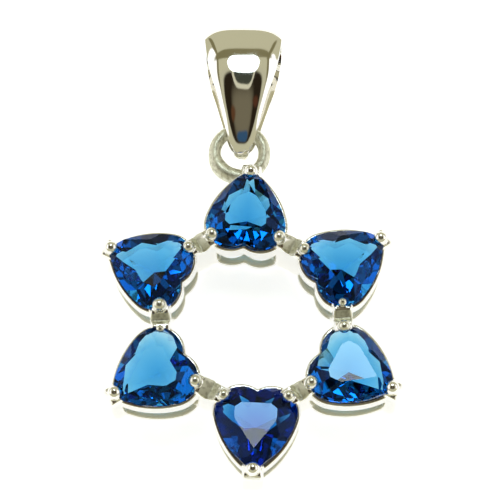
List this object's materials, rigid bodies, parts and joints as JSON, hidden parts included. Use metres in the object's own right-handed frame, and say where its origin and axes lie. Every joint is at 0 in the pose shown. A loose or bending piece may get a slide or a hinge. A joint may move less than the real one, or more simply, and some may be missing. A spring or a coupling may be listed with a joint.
{
  "type": "star of david pendant",
  "caption": "Open star-shaped pendant of heart-cut stones in two-rail baskets, with a soldered ring and a tapered bail for a chain.",
  "frame": {"origin": "under the middle of the pendant's box, on the surface it lies on", "axes": "+Y from the star towards the bail, +Z out of the pendant's front, +X to the right seen from the front"},
  "size_m": [0.0186, 0.0305, 0.0047],
  "materials": {
    "silver": "polished",
    "blue_stone": "faceted and polished"
  },
  "bodies": {
    "root": {"star_setting": "silver", "bail": "silver", "stone_top": "blue_stone", "stone_upper_left": "blue_stone", "stone_lower_left": "blue_stone", "stone_bottom": "blue_stone", "stone_lower_right": "blue_stone", "stone_upper_right": "blue_stone"}
  },
  "joints": []
}
